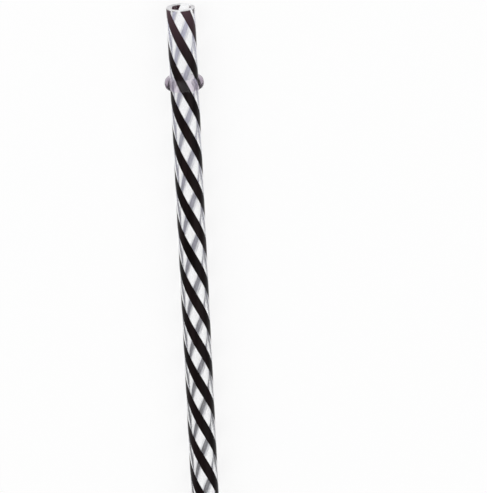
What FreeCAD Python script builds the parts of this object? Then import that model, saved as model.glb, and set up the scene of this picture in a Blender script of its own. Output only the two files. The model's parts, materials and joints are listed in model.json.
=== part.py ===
import FreeCAD, Part

import math
import os

from FreeCAD import Vector

# A reusable drinking straw of hard clear plastic. Coloured stripes wind round it in a long helix,
# let in flush with the outside of the wall, and a clear stop ring is bonded on near the mouth.
# It lies on a level surface as it comes to rest, on its ring and on the rim of its far end, with
# the mouth towards +Y. The origin is on that surface, below the middle of the tube.
# Sizes are in millimetres and degrees. Each piece is drawn upright, from the far end at z = 0 to
# the mouth, with the side that will be the top towards -Y, and is then laid down.

# Tube
TUBE_LENGTH = 230.0
TUBE_RADIUS = 4.0
WALL = 1.1
RIM_BEVEL = 0.2                 # both ends have their sharp edges taken off, inside and out

# Stripes
STRIPE_COUNT = 4
STRIPE_PITCH = 50.2             # length of one full turn
STRIPE_WIDTH = 3.0              # straight across, from edge to edge
STRIPE_DEPTH = 0.6              # into the wall at the stripe's middle
STRIPE_START = 18.0             # middle of the first stripe at the mouth, from the top side

# Stop ring
RING_FROM_MOUTH = 21.9          # from the mouth to the middle of the ring
RING_HEIGHT = 3.4               # along the tube
RING_STAND_OUT = 1.5            # proud of the tube

# How far a cutting tool runs past what it trims
OVERRUN = 1.0

ORIGIN = Vector(0, 0, 0)
UP = Vector(0, 0, 1)


def tube_blank():
    """The plain tube with its rims bevelled, before the stripes are let in."""
    outside = Part.makeCylinder(TUBE_RADIUS, TUBE_LENGTH)
    bore = Part.makeCylinder(TUBE_RADIUS - WALL, TUBE_LENGTH)
    blank = outside.cut(bore)
    rims = [edge for edge in blank.Edges if isinstance(edge.Curve, Part.Circle)]
    return blank.makeChamfer(min(RIM_BEVEL, 0.45 * WALL), rims)


def first_channel():
    """The helical channel of the first stripe, which is open at the outside and at both ends.

    A stripe's section is round outside and has two flat sides inside, which fall from its
    edges to its deepest place in the middle. The channel is a wedge with those sides, carried
    on past the edges, that is swept left-handed round the tube and past its ends.
    """
    edge = math.sqrt(TUBE_RADIUS ** 2 - (STRIPE_WIDTH / 2) ** 2)
    deepest = TUBE_RADIUS - STRIPE_DEPTH
    shoulder = edge + (edge - deepest)
    back = max(TUBE_RADIUS, shoulder) + OVERRUN
    corners = [
        Vector(deepest, 0, 0),
        Vector(shoulder, -STRIPE_WIDTH, 0),
        Vector(back, -STRIPE_WIDTH, 0),
        Vector(back, STRIPE_WIDTH, 0),
        Vector(shoulder, STRIPE_WIDTH, 0),
    ]
    helix = Part.makeLongHelix(STRIPE_PITCH, TUBE_LENGTH + 2 * OVERRUN, TUBE_RADIUS, 0, True)
    sweep = Part.BRepOffsetAPI.MakePipeShell(Part.Wire(helix.Edges))
    sweep.setBiNormalMode(UP)
    sweep.add(Part.makePolygon(corners + corners[:1]))
    sweep.build()
    sweep.makeSolid()
    channel = sweep.shape()
    channel.translate(Vector(0, 0, -OVERRUN))
    top_side = -90.0
    angle_at_mouth = -360.0 * (TUBE_LENGTH + OVERRUN) / STRIPE_PITCH
    channel.rotate(ORIGIN, UP, top_side + STRIPE_START - angle_at_mouth)
    return channel


def turned(piece, index):
    """The piece moved round the tube to the place of another stripe."""
    piece = piece.copy()
    piece.rotate(ORIGIN, UP, 360.0 * index / STRIPE_COUNT)
    return piece


def stop_ring():
    """A bead with a flat side on the tube and a round back."""
    foot_low = Vector(TUBE_RADIUS, 0, -RING_HEIGHT / 2)
    foot_high = Vector(TUBE_RADIUS, 0, RING_HEIGHT / 2)
    crest = Vector(TUBE_RADIUS + RING_STAND_OUT, 0, 0)
    back = Part.Arc(foot_low, crest, foot_high).toShape()
    section = Part.Face(Part.Wire([back, Part.makeLine(foot_high, foot_low)]))
    section.translate(Vector(0, 0, TUBE_LENGTH - RING_FROM_MOUTH))
    return section.revolve(ORIGIN, UP, 360)


def laid_down(piece):
    """An upright piece as it lies, on the crest of the ring and on the rim of the far end."""
    between_supports = TUBE_LENGTH - RING_FROM_MOUTH - RIM_BEVEL
    tilt = math.asin(RING_STAND_OUT / between_supports)
    rim_height = TUBE_RADIUS * math.cos(tilt) - RIM_BEVEL * math.sin(tilt)
    middle_height = rim_height + TUBE_LENGTH / 2 * math.sin(tilt)
    piece = piece.copy()
    piece.translate(Vector(0, 0, -TUBE_LENGTH / 2))
    piece.rotate(ORIGIN, Vector(1, 0, 0), math.degrees(tilt) - 90.0)
    piece.translate(Vector(0, 0, middle_height))
    return piece


def main():
    blank = tube_blank()
    channel = first_channel()
    stripe = blank.common(channel)
    channels = [turned(channel, index) for index in range(STRIPE_COUNT)]
    pieces = {"tube": blank.cut(channels), "stop_ring": stop_ring()}
    for index in range(STRIPE_COUNT):
        pieces["stripe_%d" % (index + 1)] = turned(stripe, index)

    os.makedirs("parts", exist_ok=True)
    for name, piece in pieces.items():
        laid_down(piece).exportStep("parts/%s.step" % name)


main()
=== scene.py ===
import json
import math

import bpy
from mathutils import Matrix, Vector


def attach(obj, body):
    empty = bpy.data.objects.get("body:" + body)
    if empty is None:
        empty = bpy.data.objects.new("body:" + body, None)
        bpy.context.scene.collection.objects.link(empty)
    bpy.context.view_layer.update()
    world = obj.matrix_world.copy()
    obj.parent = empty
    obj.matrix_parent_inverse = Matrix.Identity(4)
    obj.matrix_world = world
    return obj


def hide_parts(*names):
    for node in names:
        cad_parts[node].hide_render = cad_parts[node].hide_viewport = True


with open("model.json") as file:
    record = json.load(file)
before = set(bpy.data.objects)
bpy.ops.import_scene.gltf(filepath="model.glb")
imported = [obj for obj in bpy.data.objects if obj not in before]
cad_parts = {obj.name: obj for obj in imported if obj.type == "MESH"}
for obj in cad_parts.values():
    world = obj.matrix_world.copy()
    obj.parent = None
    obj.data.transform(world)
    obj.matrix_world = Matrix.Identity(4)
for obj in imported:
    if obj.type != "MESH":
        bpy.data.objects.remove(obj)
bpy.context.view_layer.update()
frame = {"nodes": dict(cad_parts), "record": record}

# The look of a striped drinking straw of hard clear plastic. Sizes are in metres, and angles in degrees
# unless a name says otherwise. Each piece is built upright about the tube's middle, from the far end
# below to the mouth above, with the side that will be the top towards -Y, and is then laid down.

# ---------------------------------------------------------------------------- sizes from the frame

BORE = next(mount for mount in frame["record"]["mounts"] if mount["name"] == "drinking_bore")
BORE_RADIUS = BORE["dims"]["r_mm"] / 1000
MIDDLE = Vector(BORE["pos_m"])
AXIS = Vector(BORE["axis"])
LAID_DOWN = Matrix.Translation(MIDDLE) @ Matrix.Rotation(math.asin(AXIS.z) - math.pi / 2, 4, "X")


def reach(node):
    """The lowest and highest place of a CAD node along the tube, and how far it stands from the axis."""
    upright = LAID_DOWN.inverted()
    points = [upright @ vertex.co for vertex in frame["nodes"][node].data.vertices]
    heights = [point.z for point in points]
    return min(heights), max(heights), max(point.xy.length for point in points)


FAR_END, MOUTH, TUBE_RADIUS = reach("tube")
RING_LOW, RING_HIGH, RING_RADIUS = reach("stop_ring")

# ------------------------------------------------------------------------- sizes of its own finish

STRIPE_COUNT = 4
STRIPE_PITCH = 0.0502           # length of one full turn
STRIPE_WIDTH = 0.00288          # straight across; beyond it the strand is too thin to look black
STRIPE_DEPTH = 0.0006           # into the wall at the stripe's middle
STRIPE_START = 18.0             # middle of the first stripe at the mouth, from the top side
RIM_ROUNDING = 0.0002           # both rims, inside and outside
SKIN = 0.000015                 # the clear surface lies this much below the stripes' outside
RING_SEAT = 0.00005             # the ring reaches this far into the tube, so no air lies between
RING_SQUARENESS = 2.4           # exponent of the ring's section: 2 would be an ellipse

# A stripe's inside, in shares of the way from its upper to its lower edge: first pale, where the
# strand is thin, then dark, then fading, and pale again for the rest.
THIN_SHARE = 0.13
DARK_SHARE = 0.52
FADE_SHARE = 0.08
BLACK_NEAR_MOUTH = 0.0025       # this far down from the mouth the whole inside is black

# Fineness of the meshes
TUBE_SIDES = 128
TUBE_BAND = 0.005               # the longest stretch of straight wall in one face
ROUNDING_STEPS = 5
STRIPE_STEPS_A_TURN = 72
STRIPE_STEPS_ACROSS = 20
RING_SIDES = 128
RING_STEPS = 28
SHARP_EDGE = 50.0               # faces that meet at more than this are not shaded as one

# ----------------------------------------------------------------------- colours, light and view

# Colours are linear red, green and blue. The colours by the mouth are painted glare: lighter colour that
# stands in for light at the mouth, and fades out below.
WHITE = (1.0, 1.0, 1.0)
OUTSIDE_COLOUR = (0.99, 0.993, 1.0)
RIM_COLOUR = (0.97, 0.97, 0.98)
BLACK_DEEP = (0.002, 0.0006, 0.0006)
BLACK_STREAK = (0.009, 0.0045, 0.005)
BLACK_PAINTED_GLARE = (0.074, 0.042, 0.052)
DARK_COLOUR = (0.012, 0.011, 0.034)
DARK_PAINTED_GLARE = (0.56, 0.555, 0.72)
FADING_COLOUR = (0.36, 0.37, 0.42)
FADING_PAINTED_GLARE = (0.74, 0.75, 0.86)
PALE_COLOUR = (0.97, 0.975, 1.0)
RING_COLOUR = (0.93, 0.9, 0.95)
RING_DEEP_COLOUR = (0.6, 0.54, 0.6)
RING_DENSITY = 370.0            # how strongly the ring's plastic takes up light, for each metre of it
FLOOR_COLOUR = (0.93, 0.93, 0.93)

MICRON = 0.000001
NOISE_LOW, NOISE_HIGH = 0.35, 0.65      # most of a noise lies between these
ROUGHNESS_SPREAD = 0.3          # the clear plastic is rougher or smoother than stated by this share
CLOUD_SPREAD = 0.1              # and the insides of the stripes are lighter or darker by this share
TUBE_INDEX = 1.3                # how much the clear plastic bends light
RING_INDEX = 1.15
LAMPS_THROUGH = 0.95            # the share of a lamp's light that each clear surface lets through

FLOOR_HALF = 3.0
FLOOR_GLOW = 0.82               # the share of the floor's look that is white by itself
WORLD_LIGHT = 0.65
LAMP_SIZE = 1.6
LAMPS = {                       # place, and power in watts
    "key": ((-1.1, 0.7, 1.5), 14.0),
    "fill": ((1.3, -0.3, 1.5), 8.0),
}

# View: the camera looks down on the straw, and the mouth is at the upper left of the picture
VIEW_DISTANCE = 1.0             # from the straw at the middle of the picture's height
VIEW_LEAN = 19.3                # from straight above, towards the mouth
VIEW_ROLL = 2.6                 # the straw leans left by this
PICTURE_HEIGHT = 0.14           # what the picture takes in at that distance
MOUTH_BACK = 0.066              # from that place up to the mouth, along the straw
MOUTH_TO_LEFT = 0.1279          # from the picture's middle, as a share of its height
MOUTH_ABOVE = 0.4858            # likewise
SENSOR = 36.0                   # millimetres, as is the lens
FARTHEST_SEEN = 20.0

# Places in a piece's list of materials
OUTSIDE, INSIDE, CUT = range(3)
BLACK, DARK, FADING, PALE = range(4)

# ------------------------------------------------------------------------------------------ meshes


def polar(radius, angle, height):
    return (radius * math.cos(angle), radius * math.sin(angle), height)


def piece(name, points, faces, materials, node, face_material=None):
    """A smooth mesh, laid down in the frame, which stands for that CAD node."""
    mesh = bpy.data.meshes.new(name)
    mesh.from_pydata(points, [], faces)
    for face in mesh.polygons:
        face.use_smooth = True
        if face_material:
            face.material_index = face_material(face.index)
    mesh.set_sharp_from_angle(angle=math.radians(SHARP_EDGE))
    for material in materials:
        mesh.materials.append(material)
    made = bpy.data.objects.new(name, mesh)
    bpy.context.scene.collection.objects.link(made)
    mesh.transform(LAID_DOWN)
    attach(made, "root")
    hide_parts(node)


def grid_faces(rows, columns):
    """Quads between closed rows of points, the last row joined to the first."""
    faces = []
    for row in range(rows):
        below = row * columns
        above = (row + 1) % rows * columns
        for column in range(columns):
            beside = (column + 1) % columns
            faces.append((below + column, below + beside, above + beside, above + column))
    return faces


def lathe(section, sides):
    """Points and faces of a closed section of (radius, height) turned round the axis."""
    points = []
    for radius, height in section:
        for side in range(sides):
            points.append(polar(radius, math.tau * side / sides, height))
    return points, grid_faces(len(section), sides)


def rounded_corner(middle_radius, middle_height, start):
    """A quarter turn of the rim's rounding about that middle, from the start angle on."""
    corner = []
    for step in range(ROUNDING_STEPS + 1):
        angle = math.radians(start + 90.0 * step / ROUNDING_STEPS)
        radius = middle_radius + RIM_ROUNDING * math.cos(angle)
        corner.append((radius, middle_height + RIM_ROUNDING * math.sin(angle)))
    return corner


def straight(radius, start, end):
    """A straight wall's bands from its start, without its end."""
    bands = math.ceil(abs(end - start) / TUBE_BAND)
    return [(radius, start + (end - start) * band / bands) for band in range(bands)]


def build_tube(materials):
    """The clear wall in one closed section: up the outside, over the mouth's rim and down the bore."""
    outside = TUBE_RADIUS - SKIN
    high, low = MOUTH - RIM_ROUNDING, FAR_END + RIM_ROUNDING
    outer, inner = outside - RIM_ROUNDING, BORE_RADIUS + RIM_ROUNDING
    stretches = [
        (OUTSIDE, straight(outside, low, high)),
        (CUT, rounded_corner(outer, high, 0.0) + rounded_corner(inner, high, 90.0)[:-1]),
        (INSIDE, straight(BORE_RADIUS, high, low)),
        (CUT, rounded_corner(inner, low, 180.0) + rounded_corner(outer, low, 270.0)[:-1]),
    ]
    section = [place for index, stretch in stretches for place in stretch]
    row_material = [index for index, stretch in stretches for place in stretch]
    points, faces = lathe(section, TUBE_SIDES)

    def material_of(face):
        return row_material[face // TUBE_SIDES]

    piece("clear_tube", points, faces, materials, "tube", material_of)


def strand_section():
    """A strand's outline as (radius, angle) about the axis: round outside, two flat sides inside."""
    half = math.asin(STRIPE_WIDTH / 2 / TUBE_RADIUS)
    edge, deepest = TUBE_RADIUS * math.cos(half), TUBE_RADIUS - STRIPE_DEPTH
    steps = STRIPE_STEPS_ACROSS
    section = [(TUBE_RADIUS, 2 * half * step / steps - half) for step in range(steps + 1)]
    for step in range(1, steps):
        side = 1 - 2 * step / steps
        beside = STRIPE_WIDTH / 2 * side
        outward = deepest + (edge - deepest) * abs(side)
        section.append((math.hypot(outward, beside), math.atan2(beside, outward)))
    return section


def inner_material(share):
    """The material at that share of the way across a stripe's inside."""
    if share < THIN_SHARE or share > THIN_SHARE + DARK_SHARE + FADE_SHARE:
        return PALE
    return DARK if share < THIN_SHARE + DARK_SHARE else FADING


def build_stripe(index, materials):
    """One strand, wound left-handed from rim to rim."""
    section = strand_section()
    columns = len(section)
    low, high = FAR_END + RIM_ROUNDING, MOUTH - RIM_ROUNDING
    steps = round((high - low) / STRIPE_PITCH * STRIPE_STEPS_A_TURN)
    first = math.radians(STRIPE_START - 90.0) + math.tau * index / STRIPE_COUNT
    points = []
    for step in range(steps + 1):
        height = low + (high - low) * step / steps
        turn = first + math.tau * (MOUTH - height) / STRIPE_PITCH
        points += [polar(radius, turn + offset, height) for radius, offset in section]
    faces = grid_faces(steps + 1, columns)[: steps * columns]
    faces.append(tuple(reversed(range(columns))))
    faces.append(tuple(steps * columns + column for column in range(columns)))

    def material_of(face):
        """Black outside, at both ends and near the mouth."""
        step, column = divmod(face, columns)
        from_mouth = (high - low) * (1 - step / steps)
        if step >= steps or column < STRIPE_STEPS_ACROSS or from_mouth < BLACK_NEAR_MOUTH:
            return BLACK
        return inner_material((column - STRIPE_STEPS_ACROSS + 0.5) / STRIPE_STEPS_ACROSS)

    node = "stripe_%d" % (index + 1)
    piece("black_" + node, points, faces, materials, node, material_of)


def build_ring(material):
    """The bead: a rounded back, flatter in its middle, and a straight foot inside the tube's surface."""
    half_height = (RING_HIGH - RING_LOW) / 2
    middle = (RING_LOW + RING_HIGH) / 2
    foot = TUBE_RADIUS - RING_SEAT
    section = []
    for step in range(RING_STEPS + 1):
        angle = math.pi * (step / RING_STEPS - 0.5)
        outward = math.cos(angle) ** (2 / RING_SQUARENESS) if 0 < step < RING_STEPS else 0.0
        along = math.copysign(abs(math.sin(angle)) ** (2 / RING_SQUARENESS), angle)
        section.append((foot + (RING_RADIUS - foot) * outward, middle + half_height * along))
    points, faces = lathe(section, RING_SIDES)
    piece("clear_stop_ring", points, faces, [material], "stop_ring")


# ------------------------------------------------------------------------------- nodes of materials


def put(node, **values):
    """Sets a node's properties and inputs by name."""
    for name, value in values.items():
        if hasattr(node, name):
            setattr(node, name, value)
        else:
            node.inputs[name.replace("_", " ")].default_value = value


def add(tree, kind, **values):
    """A new node of that kind, with those properties and inputs."""
    node = tree.nodes.new(kind)
    put(node, **values)
    return node


def opaque(colour):
    return (*colour, 1.0)


def new_material(name):
    made = bpy.data.materials.new(name)
    made.use_nodes = True
    return made, made.node_tree, made.node_tree.nodes["Principled BSDF"]


def noise(tree, scale, detail, along):
    """Noise in the object's own coordinates. The smaller its scale along the tube, the longer its grain."""
    place = tree.nodes.new("ShaderNodeTexCoord")
    mapping = add(tree, "ShaderNodeMapping", Scale=(1.0, along, 1.0))
    texture = add(tree, "ShaderNodeTexNoise", Scale=scale, Detail=detail)
    tree.links.new(place.outputs["Object"], mapping.inputs["Vector"])
    tree.links.new(mapping.outputs["Vector"], texture.inputs["Vector"])
    return texture.outputs["Fac"]


def spread(tree, value, start, end, low=0.0, high=1.0):
    """Runs from low to high while the value runs from start to end, and stays there beyond."""
    node = add(tree, "ShaderNodeMapRange", From_Min=start, From_Max=end, To_Min=low, To_Max=high)
    tree.links.new(value, node.inputs["Value"])
    return node.outputs["Result"]


def between(tree, value, low, high):
    """Noise spread over a range of numbers."""
    return spread(tree, value, NOISE_LOW, NOISE_HIGH, low, high)


def painted_glare_share(tree, depth, exponent):
    """The share of painted glare: 1 at the mouth, and less and less down to 0 that far below it."""
    place = tree.nodes.new("ShaderNodeTexCoord")
    parts = tree.nodes.new("ShaderNodeSeparateXYZ")
    power = add(tree, "ShaderNodeMath", operation="POWER")
    power.inputs[1].default_value = exponent
    tree.links.new(place.outputs["Object"], parts.inputs["Vector"])
    tree.links.new(spread(tree, parts.outputs["Y"], MOUTH - depth, MOUTH), power.inputs[0])
    return power.outputs["Value"]


def blend(tree, share, low, high):
    """A colour between two, each a colour or another node's output."""
    mix = add(tree, "ShaderNodeMix", data_type="RGBA")
    tree.links.new(share, mix.inputs["Factor"])
    for name, colour in (("A", low), ("B", high)):
        if isinstance(colour, tuple):
            mix.inputs[name].default_value = opaque(colour)
        else:
            tree.links.new(colour, mix.inputs[name])
    return mix.outputs["Result"]


def bump(tree, shader, height, distance):
    node = add(tree, "ShaderNodeBump", Strength=1.0, Distance=distance)
    tree.links.new(height, node.inputs["Height"])
    tree.links.new(node.outputs["Normal"], shader.inputs["Normal"])


def mix_surfaces(tree, share, first, second, output="Material Output"):
    """The first shader where the share is 0, and the second where it is 1."""
    mix = tree.nodes.new("ShaderNodeMixShader")
    tree.links.new(share, mix.inputs["Fac"])
    tree.links.new(first, mix.inputs[1])
    tree.links.new(second, mix.inputs[2])
    tree.links.new(mix.outputs["Shader"], tree.nodes[output].inputs["Surface"])


# --------------------------------------------------------------------------------------- materials


def clear_plastic(name, colour, clearness, roughness, waviness, index):
    """Hard clear plastic. Lamps shine through it, so that its shadow stays faint."""
    made, tree, shader = new_material(name)
    put(shader, Base_Color=opaque(colour), Transmission_Weight=clearness, IOR=index)
    cloud = noise(tree, scale=300.0, detail=3.0, along=0.2)
    smooth, rough = ((1 + side * ROUGHNESS_SPREAD) * roughness for side in (-1, 1))
    tree.links.new(between(tree, cloud, smooth, rough), shader.inputs["Roughness"])
    bump(tree, shader, noise(tree, scale=900.0, detail=2.0, along=0.06), waviness)
    path = tree.nodes.new("ShaderNodeLightPath")
    through = add(tree, "ShaderNodeBsdfTransparent", Color=opaque((LAMPS_THROUGH,) * 3))
    mix_surfaces(tree, path.outputs["Is Shadow Ray"], shader.outputs["BSDF"], through.outputs["BSDF"])
    return made


def black_plastic():
    """Glossy warm black with faint streaks drawn out along the tube, and painted glare that makes it
    lighter by the mouth.
    """
    made, tree, shader = new_material("black_plastic")
    streaks = noise(tree, scale=500.0, detail=4.0, along=0.12)
    black = blend(tree, between(tree, streaks, 0.0, 1.0), BLACK_DEEP, BLACK_STREAK)
    # painted glare: the black turns lighter towards the mouth
    colour = blend(tree, painted_glare_share(tree, depth=0.03, exponent=3.5), black, BLACK_PAINTED_GLARE)
    tree.links.new(colour, shader.inputs["Base Color"])
    put(shader, Specular_IOR_Level=0.05)
    tree.links.new(between(tree, streaks, low=0.2, high=0.32), shader.inputs["Roughness"])
    bump(tree, shader, streaks, 2 * MICRON)
    return made


def inner_plastic(name, colour, glare_colour):
    """The inside of a stripe, where it meets the clear wall. It is matt, and painted glare makes it paler
    by the mouth.
    """
    made, tree, shader = new_material(name)
    cloud = noise(tree, scale=700.0, detail=3.0, along=0.2)
    low, high = (tuple((1 + side * CLOUD_SPREAD) * part for part in colour) for side in (-1, 1))
    clouded = blend(tree, between(tree, cloud, 0.0, 1.0), low, high)
    # painted glare: the inside turns paler towards the mouth
    glare_amount = painted_glare_share(tree, depth=0.13, exponent=1.4)
    tree.links.new(blend(tree, glare_amount, clouded, glare_colour), shader.inputs["Base Color"])
    put(shader, Specular_IOR_Level=0.1, Roughness=0.6)
    return made


def ring_plastic():
    """The ring's clear plastic is a little grey, which shows where it is thick."""
    made = clear_plastic(
        "ring_plastic", RING_COLOUR, clearness=0.975, roughness=0.12, waviness=2 * MICRON, index=RING_INDEX
    )
    tree = made.node_tree
    grey = add(tree, "ShaderNodeVolumeAbsorption", Color=opaque(RING_DEEP_COLOUR), Density=RING_DENSITY)
    tree.links.new(grey.outputs["Volume"], tree.nodes["Material Output"].inputs["Volume"])
    return made


def tube_materials():
    """Outside, inside and cut rim, each with its colour, clearness, roughness and height of waves."""
    finishes = (
        ("clear_outside", OUTSIDE_COLOUR, 0.86, 0.06, 1.5 * MICRON),
        ("clear_bore", WHITE, 1.0, 0.04, MICRON),
        ("cut_rim", RIM_COLOUR, 0.3, 0.5, 4 * MICRON),
    )
    return [clear_plastic(*finish, TUBE_INDEX) for finish in finishes]


def stripe_materials():
    """Black, and the inside's dark, fading and pale parts."""
    return [
        black_plastic(),
        inner_plastic("inner_dark", DARK_COLOUR, DARK_PAINTED_GLARE),
        inner_plastic("inner_fade", FADING_COLOUR, FADING_PAINTED_GLARE),
        inner_plastic("inner_pale", PALE_COLOUR, PALE_COLOUR),
    ]


# ------------------------------------------------------------------------- floor, light and camera


def seen_share(tree):
    """1 for what the camera sees by itself, in a reflection or through the plastic, else 0."""
    path = tree.nodes.new("ShaderNodeLightPath")
    total = path.outputs["Is Camera Ray"]
    for name in ("Is Glossy Ray", "Is Transmission Ray"):
        both = add(tree, "ShaderNodeMath", operation="ADD", use_clamp=True)
        tree.links.new(total, both.inputs[0])
        tree.links.new(path.outputs[name], both.inputs[1])
        total = both.outputs["Value"]
    return total


def build_floor():
    """A pale floor that is mostly white by itself to the eye, so that only a light shadow lies on it."""
    mesh = bpy.data.meshes.new("floor")
    corners = [(-1, -1), (1, -1), (1, 1), (-1, 1)]
    mesh.from_pydata([(FLOOR_HALF * x, FLOOR_HALF * y, 0) for x, y in corners], [], [(0, 1, 2, 3)])
    made, tree, shader = new_material("floor")
    put(shader, Base_Color=opaque(FLOOR_COLOUR), Roughness=0.9, Specular_IOR_Level=0.0)
    white = add(tree, "ShaderNodeEmission", Strength=1.0)
    share = add(tree, "ShaderNodeMath", operation="MULTIPLY")
    share.inputs[1].default_value = FLOOR_GLOW
    tree.links.new(seen_share(tree), share.inputs[0])
    mix_surfaces(tree, share.outputs["Value"], shader.outputs["BSDF"], white.outputs["Emission"])
    mesh.materials.append(made)
    floor = bpy.data.objects.new("floor", mesh)
    bpy.context.scene.collection.objects.link(floor)


def build_world():
    """White to the eye all round, and less bright as a light."""
    world = bpy.data.worlds.new("studio")
    world.use_nodes = True
    tree = world.node_tree
    light = tree.nodes["Background"]
    put(light, Color=opaque(WHITE), Strength=WORLD_LIGHT)
    seen = add(tree, "ShaderNodeBackground", Color=opaque(WHITE), Strength=1.0)
    light_out, seen_out = light.outputs["Background"], seen.outputs["Background"]
    mix_surfaces(tree, seen_share(tree), light_out, seen_out, output="World Output")
    bpy.context.scene.world = world


def build_lamp(name, place, power):
    """A large square lamp that faces the straw."""
    data = bpy.data.lights.new(name, "AREA")
    data.shape = "SQUARE"
    data.size = LAMP_SIZE
    data.energy = power
    lamp = bpy.data.objects.new(name, data)
    bpy.context.scene.collection.objects.link(lamp)
    lamp.location = place
    lamp.rotation_euler = (MIDDLE - Vector(place)).to_track_quat("-Z", "Y").to_euler()


def build_camera():
    """The view from above and from the mouth's side, rolled so that the straw leans left."""
    side = Vector((1.0, 0.0, 0.0))
    normal = side.cross(AXIS)
    lean, roll = math.radians(VIEW_LEAN), math.radians(VIEW_ROLL)
    back = math.sin(lean) * AXIS + math.cos(lean) * normal
    level = math.cos(lean) * AXIS - math.sin(lean) * normal
    up = math.cos(roll) * level + math.sin(roll) * side
    right = math.cos(roll) * side - math.sin(roll) * level
    mouth_depth = VIEW_DISTANCE - MOUTH_BACK * math.sin(lean)
    height_there = PICTURE_HEIGHT * mouth_depth / VIEW_DISTANCE
    target = MIDDLE + MOUTH * AXIS + height_there * (MOUTH_TO_LEFT * right - MOUTH_ABOVE * up)
    data = bpy.data.cameras.new("camera")
    data.type = "PERSP"
    data.sensor_width = SENSOR
    data.lens = SENSOR * VIEW_DISTANCE / PICTURE_HEIGHT
    data.clip_end = FARTHEST_SEEN
    camera = bpy.data.objects.new("camera", data)
    bpy.context.scene.collection.objects.link(camera)
    turn = Matrix((right, up, back)).transposed().to_4x4()
    camera.matrix_world = Matrix.Translation(target + mouth_depth * back) @ turn
    bpy.context.scene.camera = camera


# ------------------------------------------------------------------------------- straw and studio

build_tube(tube_materials())
strand = stripe_materials()
for number in range(STRIPE_COUNT):
    build_stripe(number, strand)
build_ring(ring_plastic())

build_floor()
build_world()
for lamp_name, (lamp_place, lamp_power) in LAMPS.items():
    build_lamp(lamp_name, lamp_place, lamp_power)
build_camera()
bpy.context.scene.view_settings.view_transform = "Standard"
